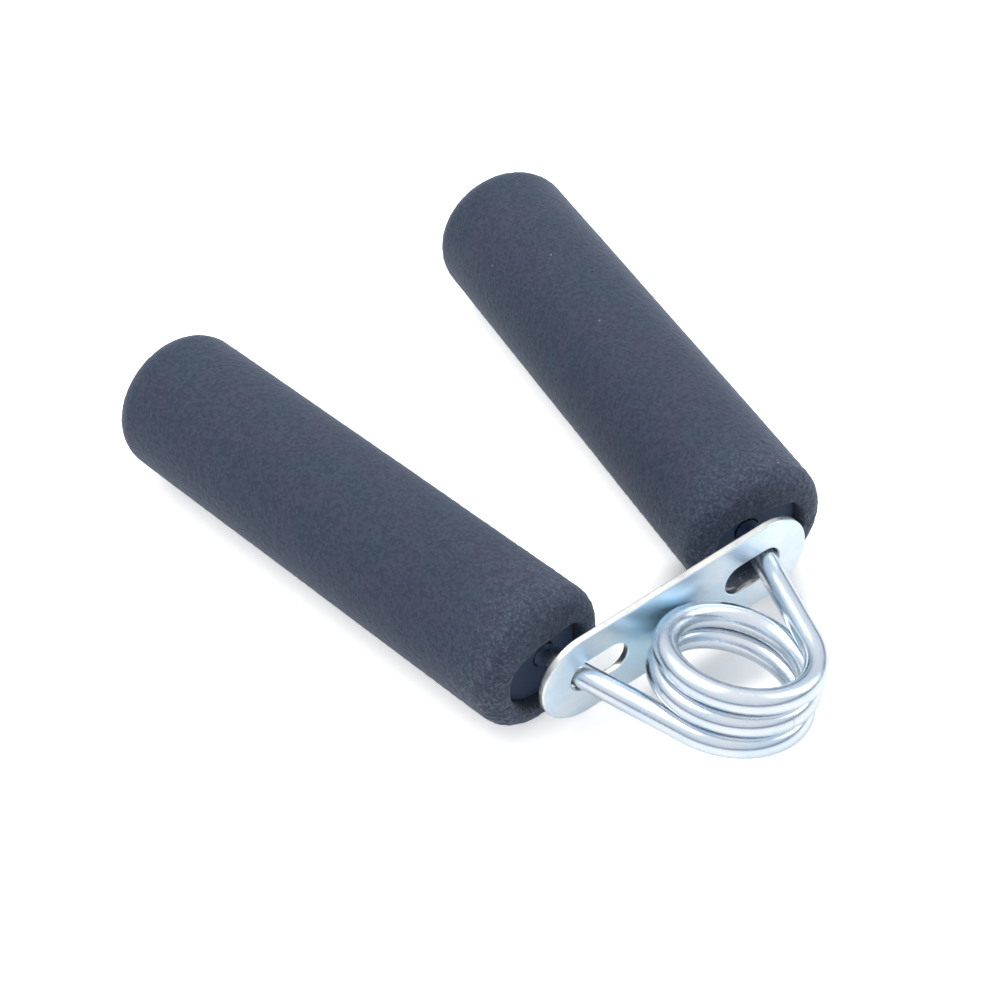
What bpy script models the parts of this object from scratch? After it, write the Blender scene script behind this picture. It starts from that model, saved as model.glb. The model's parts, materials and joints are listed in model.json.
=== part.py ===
"""Foam hand grip strengthener: a torsion spring whose two arms carry foam-covered handles.

Metres, +Z up. The object lies flat on its two sleeves, with the coil at -Y and the handles towards +Y.
The origin is under the middle of its bounding box. Its two halves are the same piece, turned half a turn
about the long middle line, so the right-hand pieces are modelled and the left-hand ones are turned copies.
"""

import math

import bmesh
import bpy
from mathutils import Matrix, Vector

# Driving dimensions: the spring
WIRE_DIAMETER = 0.005
COIL_MEAN_RADIUS = 0.0143
COIL_PITCH = 0.0053
ARM_LEAN = math.radians(18.0)
BEND_REACH = 0.0345
BEND_RADIUS = 0.02
ARM_END_PAST_BEND = 0.075

# Driving dimensions: the handles
HANDLE_LEAN = math.radians(8.6)
SLEEVE_RADIUS = 0.0155
SLEEVE_LENGTH = 0.115
SLEEVE_BORE_RADIUS = 0.010
SLEEVE_END_WALL = 0.007
SLEEVE_LIP_RADIUS = 0.0045
SLEEVE_BORE_ROUND = 0.001
SLEEVE_END_ROUND = 0.006
SLEEVE_END_CROWN = 0.0012
MOUTH_BEFORE_BEND = 0.0113
CORE_RADIUS = 0.0097
CORE_RECESS = 0.003
CORE_WALL = 0.0017
CORE_FRONT_WALL = 0.003
CORE_EDGE_ROUND = 0.0004
CORE_WEB = 0.0036
CORE_BOSS_RADIUS = 0.0042

# Driving dimensions: the stop plate
PLATE_LENGTH = 0.0644
PLATE_WIDTH = 0.0202
PLATE_THICKNESS = 0.0016
PLATE_FRONT = 0.0171
PLATE_TILT = math.radians(1.0)
PLATE_EDGE_ROUND = 0.00025
SLOT_HEIGHT = 0.0072
SLOT_INNER_END = 0.0120
SLOT_OUTER_END = 0.0255

# Gaps and smoothness
GAP = 0.0003
COIL_STEPS_PER_TURN = 28
WIRE_BEVEL_RESOLUTION = 4
SLEEVE_SIDES = 40
CORE_SIDES = 48
ARC_STEPS = 6
CROWN_STEPS = 4
PLATE_ARC_STEPS = 20

WIRE_RADIUS = WIRE_DIAMETER / 2
HALF_TURN_ABOUT_Y = Matrix.Rotation(math.pi, 4, "Y")

# The coil has whole turns between the two tangent points, less the part between the leaning arms.
COIL_SWEEP = 4 * math.pi + math.pi - 2 * ARM_LEAN
HELIX_RISE = COIL_PITCH / (2 * math.pi)
COIL_HALF_HEIGHT = HELIX_RISE * COIL_SWEEP / 2
ARM_DIRECTION = Vector((math.sin(ARM_LEAN), math.cos(ARM_LEAN), HELIX_RISE / COIL_MEAN_RADIUS)).normalized()


def coil_point(sweep):
    """A point of the coil's centreline in its own frame, at an angle swept down from the upper arm."""
    angle = -ARM_LEAN - sweep
    height = COIL_HALF_HEIGHT - HELIX_RISE * sweep
    return Vector((COIL_MEAN_RADIUS * math.cos(angle), COIL_MEAN_RADIUS * math.sin(angle), height))


# The coil leans about the long middle line until both bends, and so both handles, are at one height.
ARM_START = coil_point(0.0)
ARM_RUN = (BEND_REACH - ARM_START.y) / ARM_DIRECTION.y
BEND = ARM_START + ARM_DIRECTION * ARM_RUN
COIL_LEAN = math.atan2(BEND.z, BEND.x)
COIL_TURN = Matrix.Rotation(COIL_LEAN, 4, "Y")

# The sleeves have a flat facet underneath, which sets the height of the middle line.
MIDDLE_HEIGHT = SLEEVE_RADIUS * math.cos(math.pi / SLEEVE_SIDES)
HANDLE_DIRECTION = Vector((math.sin(HANDLE_LEAN), math.cos(HANDLE_LEAN), 0.0))
SLEEVE_END_FLAT = SLEEVE_RADIUS - SLEEVE_END_ROUND
CROWN_TIP = (SLEEVE_END_FLAT * HANDLE_DIRECTION.x) ** 2 / (4 * SLEEVE_END_CROWN * HANDLE_DIRECTION.y)
SLEEVE_END_REACH = BEND_REACH + (SLEEVE_LENGTH - MOUTH_BEFORE_BEND) * HANDLE_DIRECTION.y + CROWN_TIP
FRONT_REACH = COIL_MEAN_RADIUS + WIRE_RADIUS
COIL_Y = (FRONT_REACH - SLEEVE_END_REACH) / 2
MIDDLE = Matrix.Translation((0.0, COIL_Y, MIDDLE_HEIGHT))
COIL_FRAME = MIDDLE @ COIL_TURN


def clear_scene():
    for obj in list(bpy.data.objects):
        bpy.data.objects.remove(obj, do_unlink=True)


def make_collection(name, hidden=False):
    collection = bpy.data.collections.new(name)
    bpy.context.scene.collection.children.link(collection)
    collection.hide_render = hidden
    return collection


def make_material(name, colour, roughness, metallic):
    material = bpy.data.materials.new(name)
    material.use_nodes = True
    shader = material.node_tree.nodes["Principled BSDF"]
    shader.inputs["Base Color"].default_value = (*colour, 1.0)
    shader.inputs["Roughness"].default_value = roughness
    shader.inputs["Metallic"].default_value = metallic
    material.diffuse_color = (*colour, 1.0)
    return material


def add_object(name, data, collection, matrix, material=None, parent=None):
    obj = bpy.data.objects.new(name, data)
    collection.objects.link(obj)
    obj.matrix_world = matrix
    if material and not data.materials:
        data.materials.append(material)
    if parent:
        obj.parent = parent
        obj.matrix_parent_inverse = parent.matrix_world.inverted()
    return obj


def wire_curve(name, points, radius):
    """A round wire along straight runs between the points, with filled ends."""
    curve = bpy.data.curves.new(name, "CURVE")
    curve.dimensions = "3D"
    curve.bevel_depth = radius
    curve.bevel_resolution = WIRE_BEVEL_RESOLUTION
    curve.use_fill_caps = True
    spline = curve.splines.new("POLY")
    spline.points.add(len(points) - 1)
    for spline_point, point in zip(spline.points, points):
        spline_point.co = (*point, 1.0)
    return curve


def mesh_from_curve(name, curve, collection):
    """The curve's surface as a closed mesh in its own frame."""
    holder = bpy.data.objects.new(name, curve)
    collection.objects.link(holder)
    evaluated = holder.evaluated_get(bpy.context.evaluated_depsgraph_get())
    mesh = bpy.data.meshes.new_from_object(evaluated)
    mesh.name = name
    bpy.data.objects.remove(holder, do_unlink=True)
    bpy.data.curves.remove(curve)
    shape = bmesh.new()
    shape.from_mesh(mesh)
    bmesh.ops.remove_doubles(shape, verts=shape.verts, dist=1e-6)
    bmesh.ops.recalc_face_normals(shape, faces=shape.faces)
    shape.to_mesh(mesh)
    shape.free()
    return mesh


def smooth(mesh, degrees=35.0):
    mesh.shade_smooth()
    mesh.set_sharp_from_angle(angle=math.radians(degrees))


def arm_path(start, end_past_bend):
    """The right arm's centreline from a start, along the straight arm, round the bend and up the handle.

    It is given in the level frame, whose origin is the coil's centre.
    """
    bend = COIL_TURN @ BEND
    before = (COIL_TURN.to_3x3() @ ARM_DIRECTION).normalized()
    after = HANDLE_DIRECTION
    turn = before.angle(after)
    tangent = BEND_RADIUS * math.tan(turn / 2)
    axis = before.cross(after).normalized()
    inward = axis.cross(before)
    centre = bend - before * tangent + inward * BEND_RADIUS
    points = [start]
    for step in range(ARC_STEPS + 1):
        swing = Matrix.Rotation(turn * step / ARC_STEPS, 3, axis)
        points.append(centre - swing @ inward * BEND_RADIUS)
    points.append(bend + after * end_past_bend)
    return points


def build_coil(collection, material):
    steps = round(COIL_STEPS_PER_TURN * COIL_SWEEP / (2 * math.pi))
    trim = GAP / 2 / COIL_MEAN_RADIUS
    sweeps = [trim + (COIL_SWEEP - 2 * trim) * step / steps for step in range(steps + 1)]
    curve = wire_curve("spring_coil", [coil_point(sweep) for sweep in sweeps], WIRE_RADIUS)
    mesh = mesh_from_curve("spring_coil", curve, collection)
    smooth(mesh)
    add_object("spring_coil", mesh, collection, COIL_FRAME, material)


def build_arms(collection, material, pivots):
    start = COIL_TURN @ (ARM_START + ARM_DIRECTION * GAP / 2)
    curve = wire_curve("spring_arm", arm_path(start, ARM_END_PAST_BEND), WIRE_RADIUS)
    mesh = mesh_from_curve("spring_arm", curve, collection)
    smooth(mesh)
    for side, turn in SIDES.items():
        add_object(f"spring_arm_{side}", mesh, collection, MIDDLE @ turn, material, pivots[side])


def sleeve_profile():
    """The sleeve's outline as (radius, height) points, from the closed end's middle, down its outside,
    round the lip and up the bore to the middle of the bore's end."""
    points = [(0.0, SLEEVE_LENGTH)]
    for step in range(1, CROWN_STEPS):
        radius = SLEEVE_END_FLAT * step / CROWN_STEPS
        points.append((radius, SLEEVE_LENGTH - SLEEVE_END_CROWN * (step / CROWN_STEPS) ** 2))
    end_height = SLEEVE_LENGTH - SLEEVE_END_CROWN - SLEEVE_END_ROUND
    for step in range(ARC_STEPS + 1):
        angle = math.pi / 2 * (1 - step / ARC_STEPS)
        radius = SLEEVE_END_FLAT + SLEEVE_END_ROUND * math.cos(angle)
        points.append((radius, end_height + SLEEVE_END_ROUND * math.sin(angle)))
    for step in range(ARC_STEPS + 1):
        angle = math.pi / 2 * step / ARC_STEPS
        radius = SLEEVE_RADIUS - SLEEVE_LIP_RADIUS * (1 - math.cos(angle))
        points.append((radius, SLEEVE_LIP_RADIUS * (1 - math.sin(angle))))
    points.append((SLEEVE_BORE_RADIUS + SLEEVE_BORE_ROUND, 0.0))
    points.append((SLEEVE_BORE_RADIUS, SLEEVE_BORE_ROUND))
    points.append((SLEEVE_BORE_RADIUS, SLEEVE_LENGTH - SLEEVE_END_WALL))
    points.append((0.0, SLEEVE_LENGTH - SLEEVE_END_WALL))
    return points


def handle_frame():
    """The right handle's frame in the level frame: origin at the sleeve's mouth, Z up the handle, X down."""
    mouth = COIL_TURN @ BEND - HANDLE_DIRECTION * MOUTH_BEFORE_BEND
    down = Vector((0.0, 0.0, -1.0))
    across = HANDLE_DIRECTION.cross(down)
    turn = Matrix((down, across, HANDLE_DIRECTION)).transposed().to_4x4()
    return Matrix.Translation(mouth) @ turn


def build_sleeves(collection, material, pivots):
    mesh = bpy.data.meshes.new("foam_sleeve")
    profile = sleeve_profile()
    edges = [(i, i + 1) for i in range(len(profile) - 1)]
    mesh.from_pydata([(radius, 0.0, height) for radius, height in profile], edges, [])
    facet_down = Matrix.Rotation(math.pi / SLEEVE_SIDES, 4, "Z")
    for side, turn in SIDES.items():
        matrix = MIDDLE @ turn @ handle_frame() @ facet_down
        sleeve = add_object(f"foam_sleeve_{side}", mesh, collection, matrix, material, pivots[side])
        screw = sleeve.modifiers.new("Turn", "SCREW")
        screw.axis = "Z"
        screw.steps = SLEEVE_SIDES
        screw.render_steps = SLEEVE_SIDES
        screw.use_merge_vertices = True
        screw.merge_threshold = 1e-5
        screw.use_smooth_shade = True


def add_edge_round(obj, width):
    bevel = obj.modifiers.new("Edge round", "BEVEL")
    bevel.width = width
    bevel.segments = 2
    bevel.limit_method = "ANGLE"
    bevel.angle_limit = math.radians(60.0)


def cylinder_mesh(name, radius, low, high, sides=CORE_SIDES):
    mesh = bpy.data.meshes.new(name)
    shape = bmesh.new()
    height = high - low
    lift = Matrix.Translation((0.0, 0.0, (low + high) / 2))
    bmesh.ops.create_cone(
        shape, cap_ends=True, segments=sides, radius1=radius, radius2=radius, depth=height, matrix=lift
    )
    shape.to_mesh(mesh)
    shape.free()
    return mesh


def box_mesh(name, size, centre):
    mesh = bpy.data.meshes.new(name)
    shape = bmesh.new()
    matrix = Matrix.Translation(centre) @ Matrix.Diagonal((*size, 1.0))
    bmesh.ops.create_cube(shape, size=1.0, matrix=matrix)
    shape.to_mesh(mesh)
    shape.free()
    return mesh


def add_cutter(name, mesh, matrix, cutters):
    cutter = add_object(name, mesh, cutters, matrix)
    cutter.hide_render = True
    cutter.display_type = "WIRE"
    return cutter


def cut(obj, cutter):
    modifier = obj.modifiers.new(f"Cut {cutter.name}", "BOOLEAN")
    modifier.operation = "DIFFERENCE"
    modifier.solver = "EXACT"
    modifier.object = cutter


def build_cores(collection, cutters, material, pivots):
    """A plastic tube, closed at the mouth and open at its hidden end, with a web and a boss bored for the arm."""
    core_end = SLEEVE_LENGTH - SLEEVE_END_WALL - GAP
    pocket_top = core_end + CORE_EDGE_ROUND + GAP
    core_mesh = cylinder_mesh("handle_core", CORE_RADIUS, CORE_RECESS, core_end)
    smooth(core_mesh)
    mouth = handle_frame()
    level = mouth.inverted()
    bend = COIL_TURN @ BEND
    before = (COIL_TURN.to_3x3() @ ARM_DIRECTION).normalized()
    start = bend - before * 2 * MOUTH_BEFORE_BEND
    boss_path = [level @ point for point in arm_path(start, SLEEVE_LENGTH)]
    bore_path = [level @ point for point in arm_path(start, ARM_END_PAST_BEND + GAP)]
    boss = mesh_from_curve("boss_guide", wire_curve("boss_guide", boss_path, CORE_BOSS_RADIUS), cutters)
    bore = mesh_from_curve("bore_cutter", wire_curve("bore_cutter", bore_path, WIRE_RADIUS + GAP), cutters)
    pocket_bottom = CORE_RECESS + CORE_FRONT_WALL
    pocket = cylinder_mesh("pocket_cutter", CORE_RADIUS - CORE_WALL, pocket_bottom, pocket_top)
    web_size = (4 * CORE_RADIUS, CORE_WEB, 4 * pocket_top)
    web = box_mesh("web_guide", web_size, (0.0, 0.0, 0.0))
    for side, turn in SIDES.items():
        matrix = MIDDLE @ turn @ mouth
        core = add_object(f"handle_core_{side}", core_mesh, collection, matrix, material, pivots[side])
        add_edge_round(core, CORE_EDGE_ROUND)
        pocket_cutter = add_cutter(f"pocket_cutter_{side}", pocket, matrix, cutters)
        cut(pocket_cutter, add_cutter(f"web_guide_{side}", web, matrix, cutters))
        cut(pocket_cutter, add_cutter(f"boss_guide_{side}", boss, matrix, cutters))
        cut(core, pocket_cutter)
        cut(core, add_cutter(f"bore_cutter_{side}", bore, matrix, cutters))


def add_outline(curve, points):
    spline = curve.splines.new("POLY")
    spline.points.add(len(points) - 1)
    for spline_point, (x, y) in zip(spline.points, points):
        spline_point.co = (x, y, 0.0, 1.0)
    spline.use_cyclic_u = True


def stadium(low, high, half_width):
    """A flat outline with round ends, from x = low to x = high."""
    points = []
    for centre, first in ((high - half_width, -math.pi / 2), (low + half_width, math.pi / 2)):
        for step in range(PLATE_ARC_STEPS + 1):
            angle = first + math.pi * step / PLATE_ARC_STEPS
            points.append((centre + half_width * math.cos(angle), half_width * math.sin(angle)))
    return points


def build_plate(collection, material, pivot):
    """A stamped plate across both arms, each of which passes through the outer end of its slot."""
    curve = bpy.data.curves.new("stop_plate", "CURVE")
    curve.dimensions = "2D"
    curve.fill_mode = "BOTH"
    curve.extrude = PLATE_THICKNESS / 2
    add_outline(curve, stadium(-PLATE_LENGTH / 2, PLATE_LENGTH / 2, PLATE_WIDTH / 2))
    add_outline(curve, stadium(SLOT_INNER_END, SLOT_OUTER_END, SLOT_HEIGHT / 2))
    add_outline(curve, stadium(-SLOT_OUTER_END, -SLOT_INNER_END, SLOT_HEIGHT / 2))
    mesh = mesh_from_curve("stop_plate", curve, collection)
    stand_up = Matrix.Rotation(math.pi / 2, 4, "X")
    tilt = Matrix.Rotation(-PLATE_TILT, 4, "Y")
    forward = Matrix.Translation((0.0, PLATE_FRONT + PLATE_THICKNESS / 2, 0.0))
    plate = add_object("stop_plate", mesh, collection, MIDDLE @ tilt @ forward @ stand_up, material, pivot)
    add_edge_round(plate, PLATE_EDGE_ROUND)
    smooth(mesh)


def build_grip():
    clear_scene()
    parts = make_collection("hand_grip_strengthener")
    cutters = make_collection("cutters", hidden=True)
    zinc = make_material("zinc_plate", (0.78, 0.82, 0.86), 0.25, 1.0)
    plastic = make_material("black_plastic", (0.02, 0.025, 0.035), 0.35, 0.0)
    foam = make_material("charcoal_foam", (0.055, 0.062, 0.08), 0.95, 0.0)
    pivots = {side: add_object(f"pivot_{side}", None, parts, COIL_FRAME) for side in SIDES}
    plate_pivot = add_object("pivot_plate", None, parts, MIDDLE)
    bpy.context.view_layer.update()
    build_coil(parts, zinc)
    build_arms(parts, zinc, pivots)
    build_plate(parts, zinc, plate_pivot)
    build_cores(parts, cutters, plastic, pivots)
    build_sleeves(parts, foam, pivots)


SIDES = {"right": Matrix.Identity(4), "left": HALF_TURN_ABOUT_Y}

build_grip()
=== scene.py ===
"""Visual model of a foam-handled hand grip strengthener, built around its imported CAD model.

Metres, in the frame of the CAD model: +Z up, the coil at -Y and the handles towards +Y.
Right-hand pieces are modelled about the coil's centre, and left-hand ones are copies turned half a turn
about the long middle line, as in the CAD.
"""

import json
import math

import bmesh
import bpy
from mathutils import Matrix, Vector, noise


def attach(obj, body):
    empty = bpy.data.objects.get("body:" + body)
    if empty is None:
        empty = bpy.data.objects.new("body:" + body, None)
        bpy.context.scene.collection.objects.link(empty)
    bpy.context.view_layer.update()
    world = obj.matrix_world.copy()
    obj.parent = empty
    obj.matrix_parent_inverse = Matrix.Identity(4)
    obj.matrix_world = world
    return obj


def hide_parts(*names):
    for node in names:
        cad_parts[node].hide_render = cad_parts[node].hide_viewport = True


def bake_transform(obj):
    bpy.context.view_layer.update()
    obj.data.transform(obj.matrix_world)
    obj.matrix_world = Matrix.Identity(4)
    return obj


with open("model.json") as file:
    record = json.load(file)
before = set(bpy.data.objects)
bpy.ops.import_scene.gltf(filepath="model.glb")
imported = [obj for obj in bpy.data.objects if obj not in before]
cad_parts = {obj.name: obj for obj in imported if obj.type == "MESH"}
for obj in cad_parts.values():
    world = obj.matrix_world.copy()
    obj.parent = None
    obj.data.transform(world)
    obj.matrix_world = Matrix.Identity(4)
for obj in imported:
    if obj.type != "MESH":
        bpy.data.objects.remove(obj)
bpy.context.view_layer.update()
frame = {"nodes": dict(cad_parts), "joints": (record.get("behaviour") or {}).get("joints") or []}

# The spring, as in the CAD
WIRE_RADIUS = 0.0025
WIRE_END_ROUND = 0.3
COIL_MEAN_RADIUS = 0.0143
COIL_PITCH = 0.0053
ARM_LEAN = math.radians(18.0)
BEND_REACH = 0.0345
BEND_RADIUS = 0.02
ARM_END_PAST_BEND = 0.075
COIL_SWEEP = 5 * math.pi - 2 * ARM_LEAN
HELIX_RISE = COIL_PITCH / (2 * math.pi)
COIL_HALF_HEIGHT = HELIX_RISE * COIL_SWEEP / 2
ARM_DIRECTION = Vector((math.sin(ARM_LEAN), math.cos(ARM_LEAN), HELIX_RISE / COIL_MEAN_RADIUS)).normalized()

# The handles, as in the CAD, but the foam is a hair slimmer outside, so that it doesn't sink into the table,
# and its bore is a hair tighter, so that less of a gap shows round the core.
HANDLE_LEAN = math.radians(8.6)
HANDLE_DIRECTION = Vector((math.sin(HANDLE_LEAN), math.cos(HANDLE_LEAN), 0.0))
MOUTH_BEFORE_BEND = 0.0113
SLEEVE_RADIUS = 0.01544
SLEEVE_LENGTH = 0.115
SLEEVE_BORE_RADIUS = 0.0099
SLEEVE_END_WALL = 0.007
SLEEVE_LIP_RADIUS = 0.0045
SLEEVE_BORE_ROUND = 0.0009
SLEEVE_END_ROUND = 0.006
SLEEVE_END_CROWN = 0.0012
CORE_RECESS = 0.003
LIP_SAG_HEIGHT = 0.0068
LIP_SAG_CORNER = 0.0055
SAG_FROM_RADIUS, SAG_TO_RADIUS = 0.0135, 0.0104
SAG_FULL_DEPTH = 0.0012

# The stop plate, as in the CAD, with slightly rounder edges
PLATE_LENGTH = 0.0644
PLATE_WIDTH = 0.0202
PLATE_THICKNESS = 0.0016
PLATE_FRONT = 0.0171
PLATE_TILT = math.radians(1.0)
PLATE_EDGE_ROUND = 0.00035
SLOT_HEIGHT = 0.0072
SLOT_INNER_END = 0.0120
SLOT_OUTER_END = 0.0255

# How far the foam's skin is sunk under its smooth shape, and the noise that sinks it, in bumps per metre
CELL_DEPTH = 0.00008
SLOW_DEPTH = 0.00003
RAGGED_DEPTH = 0.00015
RAGGED_FROM, RAGGED_TO = 0.026, 0.002
CELL_SCALES = (1100.0, 1700.0)
SLOW_SCALE = 45.0
RAGGED_SCALE = 950.0

# Zinc colours, in pairs that the mottle mixes
WIRE_ZINC, WIRE_BLUE = (0.74, 0.78, 0.83), (0.65, 0.745, 0.83)
PLATE_ZINC, PLATE_BLUE = (0.79, 0.875, 0.925), (0.66, 0.80, 0.91)
EDGE_ZINC, EDGE_DULL = (0.80, 0.77, 0.70), (0.66, 0.66, 0.64)

# A painted reflection of the coil on the plate's middle, where the film is also thicker and duller: its tint,
# its place from the coil's centre, and how far it reaches
PAINTED_REFLECTION_TINT = (0.66, 0.88, 1.0)
REFLECTION_PATCH_OFFSET, REFLECTION_PATCH_HEIGHT = -0.0065, 0.001
REFLECTION_PATCH_RADIUS, REFLECTION_PATCH_END = 0.005, 0.013

# The noise of the zinc's drawn lines, in bumps per metre along each axis
WIRE_LINES = (60.0, 1600.0, 1.0)
PLATE_LINES, EDGE_LINES = (300.0, 700.0, 700.0), (300.0, 2500.0, 300.0)

# The zinc's roughness, from its smoothest to its roughest places, and the depth of its waves in metres
WIRE_FINISH = (0.20, 0.31, 0.00002)
PLATE_FINISH = (0.28, 0.40, 0.00004)
EDGE_FINISH = (0.22, 0.42, 0.00004)

# Foam, plastic and table colours
FOAM_DARK, FOAM_PALE = (0.030, 0.039, 0.0615), (0.0435, 0.055, 0.083)
FOAM_TINTS = ((0.90, 1.0, 1.0), (1.08, 0.99, 1.02))
# The pale of the cut rim also carries painted light from the table below.
CUT_PALE_AND_BOUNCE, CUT_DEEP = (0.135, 0.155, 0.195), (0.018, 0.023, 0.036)
# The bore's colour is a painted shade for the inside of the mouth.
BORE_SHADE_COLOUR = (0.016, 0.023, 0.038)
DUST = (0.36, 0.39, 0.45)
PLASTIC_DARK, PLASTIC_PALE = (0.032, 0.053, 0.096), (0.042, 0.066, 0.118)
TABLE_DARK, TABLE_PALE = (0.90, 0.895, 0.885), (0.92, 0.915, 0.905)

# The table's painted shade under the coil and the plate: an ellipse, placed from the coil's centre, where the
# table's painted glow is dimmer
SHADE_OFFSET = (0.010, 0.0225)
SHADE_REACH = (0.025, 0.018)
GLOW_IN_SHADE, GLOW = 0.11, 0.50

# The room that the metal reflects: its colour by height, from level and below (0) to straight up (1)
SKY = (
    (0.0, (0.95, 0.95, 0.97)),
    (0.035, (0.75, 0.75, 0.80)),
    (0.075, (0.15, 0.17, 0.26)),
    (0.21, (0.17, 0.19, 0.29)),
    (0.30, (0.75, 0.82, 0.90)),
    (0.70, (0.93, 0.96, 1.0)),
    (1.0, (0.98, 0.99, 1.0)),
)
SKY_STRENGTH, BACKDROP_STRENGTH = 1.0, 1.1

# The camera
FOCAL_LENGTH, SENSOR_WIDTH = 92.565, 36.0
CAMERA_AZIMUTH, CAMERA_ELEVATION, CAMERA_ROLL = math.radians(-32.4), math.radians(45.9), math.radians(-5.26)
CAMERA_TARGET = Vector((-0.0207, -0.0166, 0.0407))
CAMERA_DISTANCE = 0.482

# Fineness of the visual meshes
COIL_STEP = math.radians(1.5)
WIRE_SIDES = 48
FOAM_STEP = 0.0004
FOAM_COLUMNS = 252

# The coil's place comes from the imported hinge.
HINGE = next(joint for joint in frame["joints"] if joint["name"] == "right_squeeze")
COIL_CENTRE = Vector(HINGE["pos_m"])
COIL_AXIS = Vector(HINGE["axis"]).normalized()
MIDDLE = Matrix.Translation(COIL_CENTRE)
COIL_TURN = Matrix.Rotation(math.atan2(COIL_AXIS.x, COIL_AXIS.z), 4, "Y")
SIDES = {"right": Matrix.Identity(4), "left": Matrix.Rotation(math.pi, 4, "Y")}


def coil_point(sweep):
    """A point of the coil's centreline in its own frame, at an angle swept down from the upper arm."""
    angle = -ARM_LEAN - sweep
    height = COIL_HALF_HEIGHT - HELIX_RISE * sweep
    return Vector((COIL_MEAN_RADIUS * math.cos(angle), COIL_MEAN_RADIUS * math.sin(angle), height))


ARM_START = coil_point(0.0)
BEND = COIL_TURN @ (ARM_START + ARM_DIRECTION * (BEND_REACH - ARM_START.y) / ARM_DIRECTION.y)
ARM_LEVEL_DIRECTION = (COIL_TURN.to_3x3() @ ARM_DIRECTION).normalized()


# ---------------------------------------------------------------- node helpers


class Nodes:
    """A short way to write a material's node tree."""

    def __init__(self, name):
        self.material = bpy.data.materials.new(name)
        self.material.use_nodes = True
        self.tree = self.material.node_tree
        self.shader = self.tree.nodes["Principled BSDF"]

    def add(self, kind, **values):
        node = self.tree.nodes.new(kind)
        for key, value in values.items():
            setattr(node, key, value)
        return node

    def link(self, source, target):
        self.tree.links.new(source, target)

    def set(self, **values):
        for key, value in values.items():
            self.shader.inputs[key.replace("_", " ")].default_value = value

    def coordinates(self, which="Object", scale=(1.0, 1.0, 1.0)):
        source = self.add("ShaderNodeTexCoord").outputs[which]
        mapping = self.add("ShaderNodeMapping")
        mapping.inputs["Scale"].default_value = scale
        self.link(source, mapping.inputs["Vector"])
        return mapping.outputs["Vector"]

    def noise(self, vector, scale, detail=2.0, roughness=0.5):
        node = self.add("ShaderNodeTexNoise")
        node.inputs["Scale"].default_value = scale
        node.inputs["Detail"].default_value = detail
        node.inputs["Roughness"].default_value = roughness
        self.link(vector, node.inputs["Vector"])
        return node.outputs["Fac"]

    def voronoi(self, vector, scale, feature="F1"):
        node = self.add("ShaderNodeTexVoronoi", feature=feature)
        node.inputs["Scale"].default_value = scale
        self.link(vector, node.inputs["Vector"])
        return node

    def remap(self, value, low, high, to_low=0.0, to_high=1.0):
        node = self.add("ShaderNodeMapRange")
        node.interpolation_type = "SMOOTHSTEP"
        for key, number in (("From Min", low), ("From Max", high), ("To Min", to_low), ("To Max", to_high)):
            node.inputs[key].default_value = number
        self.link(value, node.inputs["Value"])
        return node.outputs["Result"]

    def math(self, operation, first, second):
        node = self.add("ShaderNodeMath", operation=operation)
        for value, socket in ((first, node.inputs[0]), (second, node.inputs[1])):
            if isinstance(value, float):
                socket.default_value = value
            else:
                self.link(value, socket)
        return node.outputs["Value"]

    def mix(self, factor, first, second, blend="MIX"):
        node = self.add("ShaderNodeMix", data_type="RGBA", blend_type=blend)
        for value, socket in ((factor, node.inputs[0]), (first, node.inputs[6]), (second, node.inputs[7])):
            if isinstance(value, float):
                socket.default_value = value
            elif isinstance(value, tuple):
                socket.default_value = (*value, 1.0)
            else:
                self.link(value, socket)
        return node.outputs[2]

    def bump(self, height, distance, strength=1.0, normal=None):
        node = self.add("ShaderNodeBump")
        node.inputs["Strength"].default_value = strength
        node.inputs["Distance"].default_value = distance
        self.link(height, node.inputs["Height"])
        if normal is not None:
            self.link(normal, node.inputs["Normal"])
        return node.outputs["Normal"]

    def finish(self, **sockets):
        for key, value in sockets.items():
            self.link(value, self.shader.inputs[key.replace("_", " ")])
        return self.material


# ------------------------------------------------------------------- materials


def zinc_material(name, vector_source, vector_scale, light, blue, smoothest, roughest, wave, reflection_patch_centre=None):
    """Bright zinc plate with a pale blue film: mottled tint, fine lines and a faint unevenness.

    The film is thicker and duller about a place, if one is given, and bluer there with a painted reflection
    of the coil.
    """
    nodes = Nodes(name)
    lines = nodes.coordinates(vector_source, vector_scale)
    place = nodes.coordinates("Object")
    mottle = nodes.remap(nodes.noise(place, 130.0, 3.0), 0.35, 0.68)
    drawn = nodes.noise(lines, 1.0, 4.0, 0.6)
    colour = nodes.mix(mottle, light, blue)
    darker = tuple(0.82 * value for value in light)
    colour = nodes.mix(nodes.remap(drawn, 0.30, 0.75, 0.0, 0.25), colour, darker)
    smear = nodes.noise(place, 420.0, 3.0, 0.6)
    rough = nodes.math(
        "ADD",
        nodes.remap(drawn, 0.3, 0.7, smoothest, (smoothest + roughest) / 2),
        nodes.remap(smear, 0.35, 0.75, 0.0, (roughest - smoothest) / 2),
    )
    height = nodes.math("ADD", nodes.math("MULTIPLY", drawn, 0.12), nodes.noise(place, 90.0, 2.0))
    # Painted reflection: a blue patch for the coil's reflection about the place, where the film is also
    # duller.
    if reflection_patch_centre is not None:
        distance = nodes.add("ShaderNodeVectorMath", operation="DISTANCE")
        nodes.link(place, distance.inputs[0])
        distance.inputs[1].default_value = reflection_patch_centre
        painted_reflection_patch = nodes.remap(distance.outputs["Value"], REFLECTION_PATCH_RADIUS, REFLECTION_PATCH_END, 1.0, 0.0)
        colour = nodes.mix(painted_reflection_patch, colour, PAINTED_REFLECTION_TINT)
        rough = nodes.math("ADD", rough, nodes.math("MULTIPLY", painted_reflection_patch, 0.10))
    nodes.set(Metallic=1.0)
    return nodes.finish(Base_Color=colour, Roughness=rough, Normal=nodes.bump(height, wave))


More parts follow.
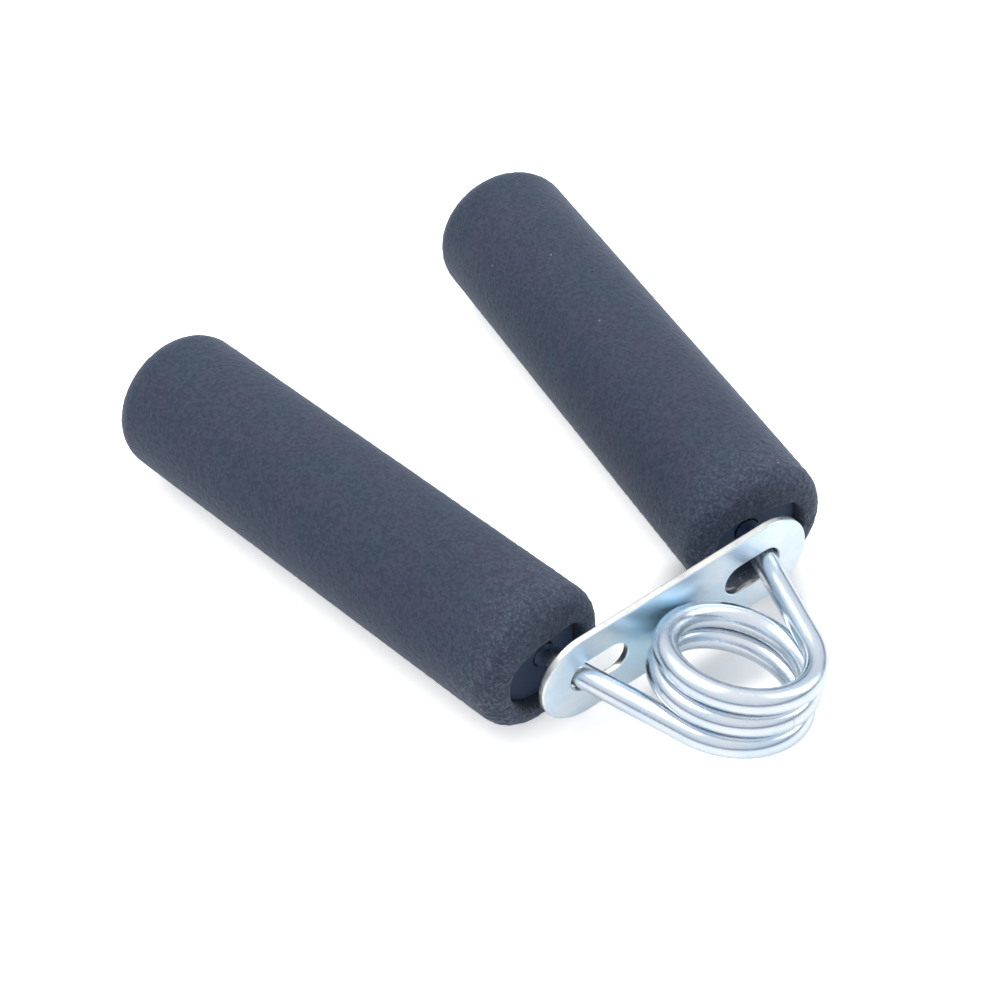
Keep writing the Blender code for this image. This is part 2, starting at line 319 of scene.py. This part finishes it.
def foam_material():
    """Charcoal cellular foam: fine open cells that catch the light, a cut rim paled on its lower side by
    painted light, painted shade inside the mouth, and stray specks.
    """
    nodes = Nodes("charcoal_foam_visual")
    place = nodes.coordinates("Object")
    cells = nodes.voronoi(place, 1800.0)
    fine = nodes.noise(place, 2400.0, 2.0, 0.6)
    blotch = nodes.noise(place, 110.0, 3.0, 0.55)
    grain = nodes.math("MULTIPLY", nodes.remap(cells.outputs["Color"], 0.1, 0.9), 0.5)
    grain = nodes.math("ADD", grain, nodes.math("MULTIPLY", fine, 0.5))
    colour = nodes.mix(nodes.remap(grain, 0.2, 0.75), FOAM_DARK, FOAM_PALE)
    tint = nodes.mix(nodes.remap(blotch, 0.35, 0.65), *FOAM_TINTS)
    colour = nodes.mix(1.0, colour, tint, "MULTIPLY")
    # Cut cells near the mouth are paler and deeper, most of all on the sleeve's lower side; a little pale is
    # mixed into the whole rim as painted light from the table below.
    split = nodes.add("ShaderNodeSeparateXYZ")
    nodes.link(nodes.coordinates("UV"), split.inputs["Vector"])
    rim = nodes.remap(split.outputs["Y"], 0.0, 0.022, 1.0, 0.0)
    cut = nodes.voronoi(place, 2300.0).outputs["Color"]
    low = nodes.remap(split.outputs["X"], -0.006, 0.006, 1.0, 0.5)
    pale_cut_and_bounce = nodes.math("MULTIPLY", nodes.math("MULTIPLY", rim, low), nodes.remap(cut, 0.50, 0.90, 0.05, 0.75))
    colour = nodes.mix(pale_cut_and_bounce, colour, CUT_PALE_AND_BOUNCE)
    deep = nodes.math("MULTIPLY", nodes.math("MULTIPLY", rim, low), nodes.remap(cut, 0.15, 0.45, 0.5, 0.0))
    colour = nodes.mix(deep, colour, CUT_DEEP)
    # Painted shade: the inside of the mouth is darkened, where the lip and the core shade it.
    painted_bore_shade = nodes.remap(split.outputs["Y"], -0.0018, -0.0002, 0.75, 0.0)
    colour = nodes.mix(painted_bore_shade, colour, BORE_SHADE_COLOUR)
    # Stray specks of dust.
    dust = nodes.voronoi(place, 120.0)
    speck = nodes.remap(dust.outputs["Distance"], 0.020, 0.034, 0.40, 0.0)
    colour = nodes.mix(speck, colour, DUST)
    nodes.set(
        Sheen_Weight=0.22,
        Sheen_Roughness=0.45,
        Sheen_Tint=(0.75, 0.82, 0.95, 1.0),
        Specular_IOR_Level=0.25,
    )
    rough = nodes.remap(fine, 0.3, 0.7, 0.80, 0.98)
    normal = nodes.bump(cells.outputs["Distance"], 0.00008, 0.6)
    normal = nodes.bump(fine, 0.00004, 0.5, normal)
    return nodes.finish(Base_Color=colour, Roughness=rough, Normal=normal)


def plastic_material():
    """Dark moulded plastic: a satin skin with faint flow marks and scuffs."""
    nodes = Nodes("black_plastic_visual")
    place = nodes.coordinates("Object")
    flow = nodes.noise(nodes.coordinates("Object", (260.0, 40.0, 260.0)), 1.0, 3.0)
    grain = nodes.noise(place, 2200.0, 2.0)
    colour = nodes.mix(nodes.remap(flow, 0.35, 0.65), PLASTIC_DARK, PLASTIC_PALE)
    rough = nodes.remap(flow, 0.3, 0.7, 0.42, 0.56)
    nodes.set(Specular_IOR_Level=0.25)
    return nodes.finish(Base_Color=colour, Roughness=rough, Normal=nodes.bump(grain, 0.00002, 0.5))


def floor_material():
    """A white table with a painted glow seen only by the camera, so it looks overexposed, dimmed by painted
    shade under the coil and the plate.
    """
    nodes = Nodes("white_table")
    place = nodes.coordinates("Object")
    colour = nodes.mix(nodes.noise(place, 6.0), TABLE_DARK, TABLE_PALE)
    shade = nodes.add("ShaderNodeVectorMath", operation="SUBTRACT")
    nodes.link(place, shade.inputs[0])
    shade.inputs[1].default_value = (COIL_CENTRE.x + SHADE_OFFSET[0], COIL_CENTRE.y + SHADE_OFFSET[1], 0.0)
    stretched = nodes.add("ShaderNodeVectorMath", operation="MULTIPLY")
    nodes.link(shade.outputs["Vector"], stretched.inputs[0])
    stretched.inputs[1].default_value = (1 / SHADE_REACH[0], 1 / SHADE_REACH[1], 0.0)
    distance = nodes.add("ShaderNodeVectorMath", operation="LENGTH")
    nodes.link(stretched.outputs["Vector"], distance.inputs[0])
    # Painted glow on the table, seen only by the camera, and dimmed by painted shade in the ellipse.
    glow = nodes.remap(distance.outputs["Value"], 0.80, 1.15, GLOW_IN_SHADE, GLOW)
    seen = nodes.add("ShaderNodeLightPath").outputs["Is Camera Ray"]
    nodes.set(Roughness=0.6, Specular_IOR_Level=0.2, Emission_Color=(1.0, 0.99, 0.985, 1.0))
    return nodes.finish(Base_Color=colour, Emission_Strength=nodes.math("MULTIPLY", seen, glow))


# ---------------------------------------------------------------------- pieces


def add_piece(name, mesh, matrix, *materials):
    """A mesh placed in the row frame, as the CAD's are: its object stays at the origin."""
    mesh.transform(matrix)
    obj = bpy.data.objects.new(name, mesh)
    bpy.context.scene.collection.objects.link(obj)
    for material in materials:
        mesh.materials.append(material)
    return obj


def wire_path():
    """The right half of the spring: from the coil's middle up to the upper arm, and out along the handle."""
    steps = round(COIL_SWEEP / 2 / COIL_STEP)
    points = [COIL_TURN @ coil_point(COIL_SWEEP / 2 * (1 - step / steps)) for step in range(steps + 1)]
    turn = ARM_LEVEL_DIRECTION.angle(HANDLE_DIRECTION)
    axis = ARM_LEVEL_DIRECTION.cross(HANDLE_DIRECTION).normalized()
    inward = axis.cross(ARM_LEVEL_DIRECTION)
    before_bend = BEND - ARM_LEVEL_DIRECTION * BEND_RADIUS * math.tan(turn / 2)
    centre = before_bend + inward * BEND_RADIUS
    first = points[-1]
    straight_steps = 30
    for step in range(1, straight_steps):
        points.append(first.lerp(before_bend, step / straight_steps))
    bend_steps = 10
    for step in range(bend_steps + 1):
        points.append(centre - Matrix.Rotation(turn * step / bend_steps, 3, axis) @ inward * BEND_RADIUS)
    last = BEND + HANDLE_DIRECTION * ARM_END_PAST_BEND
    points.extend(points[-1].lerp(last, step / 20) for step in range(1, 21))
    return points


def wire_mesh(name, points):
    """A round wire along the points, with a flat face at the start and a rounded end.

    Its map has the distance along the wire and round it, both in metres.
    """
    radii = [WIRE_RADIUS] * len(points)
    direction = (points[-1] - points[-2]).normalized()
    end = points.pop()
    radii.pop()
    for step in range(5):
        angle = math.pi / 2 * step / 4
        points.append(end - direction * WIRE_RADIUS * WIRE_END_ROUND * (1 - math.sin(angle)))
        radii.append(WIRE_RADIUS * (1 - WIRE_END_ROUND * (1 - math.cos(angle))))
    mesh = bpy.data.meshes.new(name)
    shape = bmesh.new()
    layer = shape.loops.layers.uv.new("WireMap")
    normal = (points[1] - points[0]).orthogonal().normalized()
    rings, along = [], [0.0]
    for i, point in enumerate(points):
        tangent = (points[min(i + 1, len(points) - 1)] - points[max(i - 1, 0)]).normalized()
        normal = (normal - tangent * normal.dot(tangent)).normalized()
        side = tangent.cross(normal)
        ring = []
        for column in range(WIRE_SIDES):
            angle = 2 * math.pi * column / WIRE_SIDES
            outward = normal * math.cos(angle) + side * math.sin(angle)
            ring.append(shape.verts.new(point + outward * radii[i]))
        rings.append(ring)
        if i:
            along.append(along[-1] + (point - points[i - 1]).length)
    width = 2 * math.pi * WIRE_RADIUS / WIRE_SIDES
    for row in range(len(rings) - 1):
        for column in range(WIRE_SIDES):
            after = (column + 1) % WIRE_SIDES
            corners = (rings[row][column], rings[row][after], rings[row + 1][after], rings[row + 1][column])
            face = shape.faces.new(corners)
            face.smooth = True
            places = ((row, column), (row, column + 1), (row + 1, column + 1), (row + 1, column))
            for loop, (across, around) in zip(face.loops, places):
                loop[layer].uv = (along[across], around * width)
    shape.faces.new(list(reversed(rings[0])))
    shape.faces.new(rings[-1])
    bmesh.ops.recalc_face_normals(shape, faces=shape.faces)
    shape.to_mesh(mesh)
    shape.free()
    mesh.set_sharp_from_angle(angle=math.radians(40.0))
    return mesh


def build_wire(material):
    """Each half of the spring bends between the coil's middle and its handle, so the coil shows no break."""
    for side, turn in SIDES.items():
        mesh = wire_mesh(f"spring_wire_{side}", wire_path())
        wire = add_piece(f"spring_wire_{side}", mesh, MIDDLE @ turn, material)
        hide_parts("spring_coil", f"spring_arm_{side}")
        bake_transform(wire)


def stadium(low, high, half_width, steps=48):
    points = []
    for centre, first in ((high - half_width, -math.pi / 2), (low + half_width, math.pi / 2)):
        for step in range(steps + 1):
            angle = first + math.pi * step / steps
            points.append((centre + half_width * math.cos(angle), half_width * math.sin(angle)))
    return points


def build_plate(face_material, edge_material):
    """A stamped plate with rolled edges round its outline and its two slots."""
    curve = bpy.data.curves.new("stop_plate_outline", "CURVE")
    curve.dimensions = "2D"
    curve.fill_mode = "BOTH"
    curve.extrude = PLATE_THICKNESS / 2 - PLATE_EDGE_ROUND
    curve.bevel_depth = PLATE_EDGE_ROUND
    curve.bevel_resolution = 3
    curve.offset = -PLATE_EDGE_ROUND
    for outline in (
        stadium(-PLATE_LENGTH / 2, PLATE_LENGTH / 2, PLATE_WIDTH / 2),
        stadium(SLOT_INNER_END, SLOT_OUTER_END, SLOT_HEIGHT / 2),
        stadium(-SLOT_OUTER_END, -SLOT_INNER_END, SLOT_HEIGHT / 2),
    ):
        spline = curve.splines.new("POLY")
        spline.points.add(len(outline) - 1)
        for spline_point, (x, y) in zip(spline.points, outline):
            spline_point.co = (x, y, 0.0, 1.0)
        spline.use_cyclic_u = True
    holder = bpy.data.objects.new("stop_plate_outline", curve)
    bpy.context.scene.collection.objects.link(holder)
    evaluated = holder.evaluated_get(bpy.context.evaluated_depsgraph_get())
    mesh = bpy.data.meshes.new_from_object(evaluated)
    bpy.data.objects.remove(holder, do_unlink=True)
    bpy.data.curves.remove(curve)
    shape = bmesh.new()
    shape.from_mesh(mesh)
    bmesh.ops.remove_doubles(shape, verts=shape.verts, dist=1e-6)
    bmesh.ops.recalc_face_normals(shape, faces=shape.faces)
    for face in shape.faces:
        face.smooth = True
        face.material_index = 1 if abs(face.normal.z) < 0.35 else 0
    shape.to_mesh(mesh)
    shape.free()
    stand_up = Matrix.Rotation(math.pi / 2, 4, "X")
    tilt = Matrix.Rotation(-PLATE_TILT, 4, "Y")
    forward = Matrix.Translation((0.0, PLATE_FRONT + PLATE_THICKNESS / 2, 0.0))
    matrix = MIDDLE @ tilt @ forward @ stand_up
    plate = add_piece("stop_plate_finish", mesh, matrix, face_material, edge_material)
    weighted = plate.modifiers.new("Flat faces stay flat", "WEIGHTED_NORMAL")
    weighted.weight = 100
    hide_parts("stop_plate")
    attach(plate, "stop")


def spread(points, step):
    """The points with more set between them, so that none is further than a step from the next."""
    result = [points[0]]
    for first, last in zip(points, points[1:]):
        pieces = max(1, math.ceil(math.dist(first, last) / step))
        for i in range(1, pieces + 1):
            result.append(tuple(a + (b - a) * i / pieces for a, b in zip(first, last)))
    return result


def foam_outside():
    """The sleeve's outside as (radius, height) points, from near the closed end's middle to the bore."""
    flat = SLEEVE_RADIUS - SLEEVE_END_ROUND
    end_height = SLEEVE_LENGTH - SLEEVE_END_CROWN - SLEEVE_END_ROUND
    points = [(flat * i / 16, SLEEVE_LENGTH - SLEEVE_END_CROWN * (i / 16) ** 2) for i in range(1, 16)]
    for i in range(25):
        angle = math.pi / 2 * (1 - i / 24)
        radius = flat + SLEEVE_END_ROUND * math.cos(angle)
        points.append((radius, end_height + SLEEVE_END_ROUND * math.sin(angle)))
    for i in range(17):
        angle = math.pi / 2 * i / 16
        radius = SLEEVE_RADIUS - SLEEVE_LIP_RADIUS * (1 - math.cos(angle))
        points.append((radius, SLEEVE_LIP_RADIUS * (1 - math.sin(angle))))
    for i in range(5):
        angle = math.pi / 2 * i / 4
        radius = SLEEVE_BORE_RADIUS + SLEEVE_BORE_ROUND * (1 - math.sin(angle))
        points.append((radius, SLEEVE_BORE_ROUND * (1 - math.cos(angle))))
    return spread(points, FOAM_STEP)


def foam_depth(point):
    """How far the foam's skin is sunk at a point, in metres: cells, slow waves, and ragged near the mouth."""
    cells = 0.6 + noise.noise(point * CELL_SCALES[0]) + 0.5 * noise.noise(point * CELL_SCALES[1])
    slow = 1.0 + noise.noise(point * SLOW_SCALE)
    ragged = smoothstep(point.z, RAGGED_FROM, RAGGED_TO) * (0.5 + noise.noise(point * RAGGED_SCALE))
    return max(CELL_DEPTH * cells + SLOW_DEPTH * slow + RAGGED_DEPTH * ragged, 0.0)


def smoothstep(value, low, high):
    share = min(max((value - low) / (high - low), 0.0), 1.0)
    return share * share * (3 - 2 * share)


def sagged(point, radius, up):
    """The top of the lip hangs a little over the mouth, and the bore is round again at the plastic core."""
    height = point.x * up
    share = smoothstep(radius, SAG_FROM_RADIUS, SAG_TO_RADIUS)
    share *= smoothstep(point.z, CORE_RECESS - 0.0002, SAG_FULL_DEPTH)
    corner = max(LIP_SAG_CORNER - abs(height - LIP_SAG_HEIGHT), 0.0) ** 2 / (4 * LIP_SAG_CORNER)
    lowered = min(height, LIP_SAG_HEIGHT) - corner
    return Vector((up * (height + share * (lowered - height)), point.y, point.z))


def foam_mesh(name, seed, up):
    profile = foam_outside()
    bore_from = profile[-1][1]
    bore = [(SLEEVE_BORE_RADIUS, bore_from + 0.0004 * i) for i in range(1, 9)]
    bore.append((SLEEVE_BORE_RADIUS, SLEEVE_LENGTH - SLEEVE_END_WALL))
    shape = bmesh.new()
    rings = []
    shift = Vector((seed, 0.0, 0.0))
    last_row = len(profile) - 1
    for row, (radius, height) in enumerate(profile + bore):
        before = profile[min(max(row - 1, 0), last_row)]
        after = profile[min(row + 1, last_row)]
        outward = Vector((before[1] - after[1], after[0] - before[0])).normalized()
        ring = []
        for column in range(FOAM_COLUMNS):
            angle = 2 * math.pi * column / FOAM_COLUMNS
            cosine, sine = math.cos(angle), math.sin(angle)
            point = Vector((radius * cosine, radius * sine, height))
            if row <= last_row:
                depth = foam_depth(point + shift)
                point -= Vector((outward.x * cosine, outward.x * sine, outward.y)) * depth
            if height < CORE_RECESS + 0.002:
                point = sagged(point, radius, up)
            ring.append(shape.verts.new(point))
        rings.append(ring)
    for lower, upper in zip(rings, rings[1:]):
        for column in range(FOAM_COLUMNS):
            after = (column + 1) % FOAM_COLUMNS
            shape.faces.new((lower[column], lower[after], upper[after], upper[column]))
    for ring, height in ((rings[0], SLEEVE_LENGTH), (rings[-1], SLEEVE_LENGTH - SLEEVE_END_WALL)):
        middle = shape.verts.new((0.0, 0.0, height))
        for column in range(FOAM_COLUMNS):
            shape.faces.new((middle, ring[column], ring[(column + 1) % FOAM_COLUMNS]))
    bmesh.ops.recalc_face_normals(shape, faces=shape.faces)
    mesh = bpy.data.meshes.new(name)
    shape.to_mesh(mesh)
    shape.free()
    mesh.shade_smooth()
    # The map has the height over the handle's middle line across, and the distance from the mouth up,
    # which is negative in the bore.
    layer = mesh.uv_layers.new(name="FoamMap")
    for loop in mesh.loops:
        point = mesh.vertices[loop.vertex_index].co
        in_bore = math.hypot(point.x, point.y) < SLEEVE_BORE_RADIUS + 0.0006 and point.z < 0.5 * SLEEVE_LENGTH
        layer.data[loop.index].uv = (point.x * up, -point.z if in_bore else point.z)
    return mesh


def handle_frame():
    """The right handle's frame about the coil's centre: origin at the mouth, Z up the handle, X down."""
    mouth = BEND - HANDLE_DIRECTION * MOUTH_BEFORE_BEND
    down = Vector((0.0, 0.0, -1.0))
    across = HANDLE_DIRECTION.cross(down)
    turn = Matrix((down, across, HANDLE_DIRECTION)).transposed().to_4x4()
    return Matrix.Translation(mouth) @ turn


def build_foam(material):
    for seed, (side, turn) in enumerate(SIDES.items(), start=1):
        up = -1.0 if side == "right" else 1.0
        mesh = foam_mesh(f"foam_grip_{side}", 0.37 * seed, up)
        grip = add_piece(f"foam_grip_{side}", mesh, MIDDLE @ turn @ handle_frame(), material)
        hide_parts(f"foam_sleeve_{side}")
        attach(grip, f"{side}_handle")


def finish_cores(material):
    for side in SIDES:
        for material_slot in frame["nodes"][f"handle_core_{side}"].material_slots:
            material_slot.material = material


# ----------------------------------------------------------------------- stage


def build_stage():
    shape = bmesh.new()
    bmesh.ops.create_circle(shape, cap_ends=True, segments=96, radius=4.0)
    mesh = bpy.data.meshes.new("white_table")
    shape.to_mesh(mesh)
    shape.free()
    add_piece("white_table", mesh, Matrix.Identity(4), floor_material())

    world = bpy.data.worlds.new("white_room")
    bpy.context.scene.world = world
    world.use_nodes = True
    tree = world.node_tree
    background = tree.nodes["Background"]
    direction = tree.nodes.new("ShaderNodeTexCoord").outputs["Generated"]
    split = tree.nodes.new("ShaderNodeSeparateXYZ")
    tree.links.new(direction, split.inputs["Vector"])
    ramp = tree.nodes.new("ShaderNodeValToRGB")
    tree.links.new(split.outputs["Z"], ramp.inputs["Fac"])
    while len(ramp.color_ramp.elements) < len(SKY):
        ramp.color_ramp.elements.new(0.5)
    for element, (position, colour) in zip(ramp.color_ramp.elements, SKY):
        element.position = position
        element.color = (*colour, 1.0)
    plain = tree.nodes.new("ShaderNodeBackground")
    plain.inputs["Color"].default_value = (1.0, 1.0, 1.0, 1.0)
    plain.inputs["Strength"].default_value = BACKDROP_STRENGTH
    tree.links.new(ramp.outputs["Color"], background.inputs["Color"])
    background.inputs["Strength"].default_value = SKY_STRENGTH
    seen = tree.nodes.new("ShaderNodeLightPath").outputs["Is Camera Ray"]
    mixed = tree.nodes.new("ShaderNodeMixShader")
    tree.links.new(seen, mixed.inputs[0])
    tree.links.new(background.outputs["Background"], mixed.inputs[1])
    tree.links.new(plain.outputs["Background"], mixed.inputs[2])
    tree.links.new(mixed.outputs["Shader"], tree.nodes["World Output"].inputs["Surface"])


def add_softbox(name, place, size, power, colour):
    light = bpy.data.lights.new(name, "AREA")
    light.shape = "RECTANGLE"
    light.size, light.size_y = size
    light.energy = power
    light.color = colour
    lamp = bpy.data.objects.new(name, light)
    bpy.context.scene.collection.objects.link(lamp)
    lamp.location = place
    lamp.rotation_euler = (-Vector(place)).to_track_quat("-Z", "Y").to_euler()


def build_lights():
    add_softbox("overhead_softbox", (-0.15, 0.35, 1.0), (0.9, 0.7), 7.0, (1.0, 0.99, 0.97))
    add_softbox("side_softbox", (0.9, -0.35, 0.65), (0.5, 0.7), 3.0, (0.95, 0.98, 1.0))


def build_camera():
    camera_data = bpy.data.cameras.new("camera")
    camera_data.sensor_width = SENSOR_WIDTH
    camera_data.lens = FOCAL_LENGTH
    camera_data.clip_start = 0.01
    camera = bpy.data.objects.new("camera", camera_data)
    bpy.context.scene.collection.objects.link(camera)
    level_back = Vector((math.sin(CAMERA_AZIMUTH), -math.cos(CAMERA_AZIMUTH), 0.0))
    back = level_back * math.cos(CAMERA_ELEVATION) + Vector((0.0, 0.0, math.sin(CAMERA_ELEVATION)))
    level_right = Vector((math.cos(CAMERA_AZIMUTH), math.sin(CAMERA_AZIMUTH), 0.0))
    level_up = back.cross(level_right)
    right = level_right * math.cos(CAMERA_ROLL) + level_up * math.sin(CAMERA_ROLL)
    up = back.cross(right)
    turn = Matrix((right, up, back)).transposed().to_4x4()
    camera.matrix_world = Matrix.Translation(CAMERA_TARGET + back * CAMERA_DISTANCE) @ turn
    bpy.context.scene.camera = camera


bpy.context.scene.view_settings.view_transform = "Standard"

build_camera()
build_stage()
build_lights()
build_wire(zinc_material("zinc_wire_visual", "UV", WIRE_LINES, WIRE_ZINC, WIRE_BLUE, *WIRE_FINISH))
# The painted reflection patch sits on the plate's front, by the coil's middle.
reflection_patch_centre = (COIL_CENTRE.x + REFLECTION_PATCH_OFFSET, COIL_CENTRE.y + PLATE_FRONT, COIL_CENTRE.z + REFLECTION_PATCH_HEIGHT)
face = zinc_material("zinc_plate_visual", "Object", PLATE_LINES, PLATE_ZINC, PLATE_BLUE, *PLATE_FINISH, reflection_patch_centre)
edge = zinc_material("zinc_plate_edge", "Object", EDGE_LINES, EDGE_ZINC, EDGE_DULL, *EDGE_FINISH)
build_plate(face, edge)
finish_cores(plastic_material())
build_foam(foam_material())
